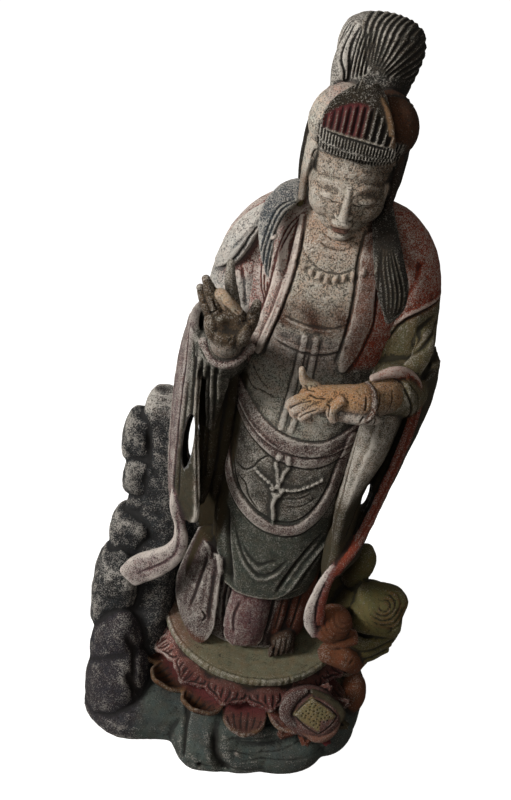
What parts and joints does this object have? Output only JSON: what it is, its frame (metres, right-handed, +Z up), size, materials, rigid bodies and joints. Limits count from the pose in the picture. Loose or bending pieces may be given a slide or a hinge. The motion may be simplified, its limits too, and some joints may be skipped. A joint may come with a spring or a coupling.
{
  "type": "statue",
  "caption": "Carved and painted wooden statue of a robed standing figure with a high topknot and raised hand, on a lotus platform over a sea-rock base.",
  "frame": {"origin": "on the flat underside, below the middle of the lotus platform", "axes": "+X to the viewer's right, +Y away from the viewer, +Z up"},
  "size_m": [0.2816, 0.2346, 0.6099],
  "materials": {
    "carved_wood": "worn, pitted paint over carved wood"
  },
  "bodies": {
    "root": {"guanyin_statue": "carved_wood"}
  },
  "joints": []
}
